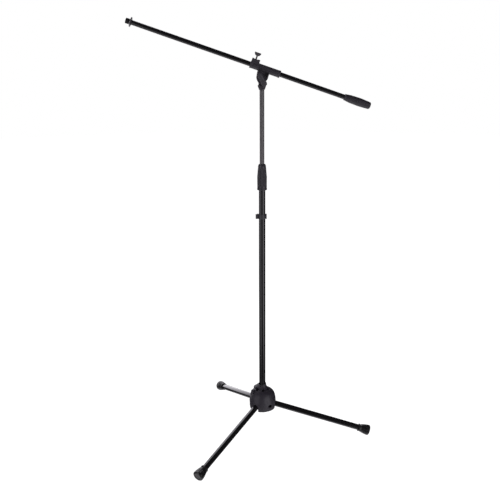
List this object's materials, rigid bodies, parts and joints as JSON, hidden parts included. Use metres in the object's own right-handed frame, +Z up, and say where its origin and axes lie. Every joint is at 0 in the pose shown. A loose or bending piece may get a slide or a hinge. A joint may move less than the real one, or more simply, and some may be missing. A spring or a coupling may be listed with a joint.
{
  "type": "boom microphone stand",
  "caption": "Floor stand with a folding tripod, a telescopic mast with a twist clutch, and a tilting, sliding boom with a threaded end for a microphone.",
  "frame": {"origin": "on the floor, on the mast's axis, midway between the three feet", "axes": "+Z up along the mast; the boom lies in the XZ plane with its microphone end towards -X; +Y is the back"},
  "size_m": [0.7444, 0.6227, 1.3126],
  "materials": {
    "black_plastic": "satin moulded, fine grain",
    "joint_plastic": "satin moulded, fine grain",
    "handle_plastic": "satin moulded",
    "wing_plastic": "satin moulded",
    "grip_plastic": "satin, softly ribbed",
    "clip_plastic": "satin moulded",
    "grey_nylon": "plain nylon",
    "fibre_washer": "pressed fibre",
    "rubber": "soft sheen",
    "gloss_black_tube": "gloss black powder coat on steel",
    "satin_tube": "satin dark nickel over steel",
    "zinc_steel": "zinc plated",
    "blackened_steel": "black oxide",
    "bright_metal": "bright plated",
    "brass": "plain"
  },
  "bodies": {
    "base": {"base_housing": "black_plastic", "base_bush": "black_plastic", "hinge_screws": "blackened_steel", "hinge_inserts": "brass", "base_clamp_insert": "brass", "base_clamp_pad": "brass"},
    "leg_right": {"leg_plug_right": "black_plastic", "leg_tube_right": "gloss_black_tube", "foot_right": "rubber"},
    "leg_front": {"leg_plug_front": "black_plastic", "leg_tube_front": "gloss_black_tube", "foot_front": "rubber"},
    "leg_rear": {"leg_plug_rear": "black_plastic", "leg_tube_rear": "gloss_black_tube", "foot_rear": "rubber"},
    "base_knob": {"base_knob": "black_plastic", "base_knob_stud": "zinc_steel"},
    "column": {"lower_tube": "gloss_black_tube", "column_end_plug": "black_plastic", "clutch_body": "black_plastic"},
    "clip": {"cable_clip": "clip_plastic"},
    "grip_nut": {"clutch_grip": "grip_plastic"},
    "collet": {"clutch_collet": "grey_nylon"},
    "mast": {"upper_tube": "satin_tube", "upper_tube_bush": "grey_nylon", "joint_base": "joint_plastic", "friction_washer": "fibre_washer", "pivot_nut": "zinc_steel"},
    "tilt_handle": {"pivot_handle": "handle_plastic", "pivot_bolt": "zinc_steel"},
    "boom_clamp": {"boom_sleeve": "joint_plastic", "boom_clamp_insert": "brass", "boom_clamp_pad": "grey_nylon"},
    "wing_screw": {"wing_head": "wing_plastic", "wing_stem": "blackened_steel"},
    "boom": {"boom_tube": "gloss_black_tube", "boom_end_stud": "black_plastic", "thread_adapter": "blackened_steel", "counterweight_core": "zinc_steel", "counterweight_grip": "grip_plastic"},
    "lock_ring": {"lock_ring": "bright_metal"}
  },
  "joints": [
    {"name": "leg_right_fold", "type": "hinge", "parent": "base", "child": "leg_right", "pos_m": [0.02646, -0.00139, 0.10816], "axis": [0.0523, 0.9986, 0], "range_deg": [0, 73.92]},
    {"name": "leg_front_fold", "type": "hinge", "parent": "base", "child": "leg_front", "pos_m": [-0.01443, -0.02222, 0.10816], "axis": [0.8387, -0.5446, 0], "range_deg": [0, 73.92]},
    {"name": "leg_rear_fold", "type": "hinge", "parent": "base", "child": "leg_rear", "pos_m": [-0.01187, 0.0237, 0.10816], "axis": [-0.8942, -0.4478, 0], "range_deg": [0, 73.92]},
    {"name": "base_knob_turn", "type": "hinge", "parent": "base", "child": "base_knob", "pos_m": [0, 0, 0.148], "axis": [-0.9397, -0.342, 0], "range_deg": [0, 360]},
    {"name": "column_slide", "type": "slide", "parent": "base", "child": "column", "axis": [0, 0, 1], "range_m": [-0.3, 0]},
    {"name": "clip_slide", "type": "slide", "parent": "column", "child": "clip", "axis": [0, 0, 1], "range_m": [-0.24, 0.07]},
    {"name": "clutch_turn", "type": "hinge", "parent": "column", "child": "grip_nut", "pos_m": [0, 0, 0.85], "axis": [0, 0, 1], "range_deg": [0, 180]},
    {"name": "mast_turn", "type": "hinge", "parent": "column", "child": "collet", "pos_m": [0, 0, 0.87], "axis": [0, 0, 1], "continuous": true},
    {"name": "mast_slide", "type": "slide", "parent": "collet", "child": "mast", "axis": [0, 0, 1], "range_m": [-0.216, 0.459]},
    {"name": "tilt_handle_turn", "type": "hinge", "parent": "mast", "child": "tilt_handle", "pos_m": [0, -0.02, 1.1382], "axis": [0, -1, 0], "range_deg": [0, 360]},
    {"name": "boom_tilt", "type": "hinge", "parent": "mast", "child": "boom_clamp", "pos_m": [0, 0, 1.1382], "axis": [0, 1, 0], "range_deg": [-99, 70.5]},
    {"name": "wing_screw_turn", "type": "hinge", "parent": "boom_clamp", "child": "wing_screw", "pos_m": [-0.01603, 0, 1.19582], "axis": [0.3272, 0, 0.9449], "range_deg": [0, 360]},
    {"name": "boom_slide", "type": "slide", "parent": "boom_clamp", "child": "boom", "axis": [-0.9449, 0, 0.3272], "range_m": [-0.355, 0.197]},
    {"name": "lock_ring_turn", "type": "hinge", "parent": "boom", "child": "lock_ring", "pos_m": [-0.37447, 0, 1.29877], "axis": [-0.9449, 0, 0.3272], "continuous": true}
  ]
}
